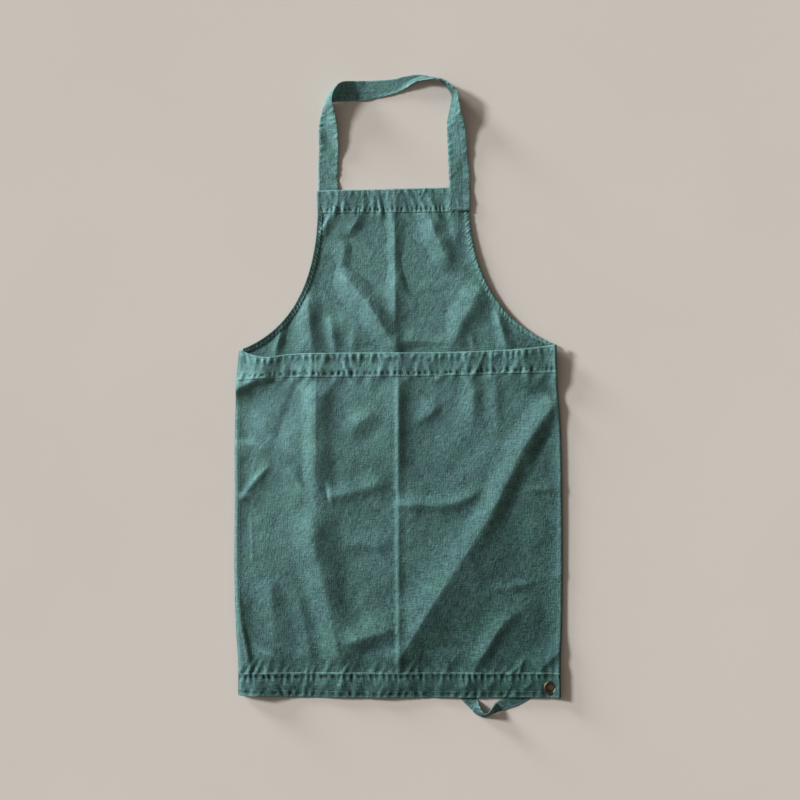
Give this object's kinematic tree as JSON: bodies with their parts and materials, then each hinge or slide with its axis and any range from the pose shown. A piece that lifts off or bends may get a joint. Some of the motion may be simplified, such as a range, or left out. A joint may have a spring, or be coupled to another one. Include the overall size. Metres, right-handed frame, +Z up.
{
  "type": "bib apron",
  "caption": "Cloth bib apron lying flat, with a neck strap, bound armholes, a full-width front pouch, a folded hem with an eyelet, and a hang loop.",
  "frame": {"origin": "middle of the apron's box, on the surface that it lies on", "axes": "+Z up from the surface, out of the apron's front; +Y up the apron to the neck strap; +X across it, to the right as it is seen from above"},
  "size_m": [0.5239, 1.0287, 0.0332],
  "materials": {
    "cotton_cloth": "plain-woven cotton, garment dyed teal green, washed and soft, matt with worn lighter ridges",
    "aged_brass": "dark aged brass, rubbed brighter on its rim"
  },
  "bodies": {
    "root": {"apron_body": "cotton_cloth", "bib_band": "cotton_cloth", "armhole_binding_left": "cotton_cloth", "armhole_binding_right": "cotton_cloth", "pouch_panel": "cotton_cloth", "pouch_band": "cotton_cloth", "hem_band": "cotton_cloth", "neck_strap": "cotton_cloth", "hang_loop": "cotton_cloth", "eyelet": "aged_brass", "eyelet_washer": "aged_brass"}
  },
  "joints": []
}
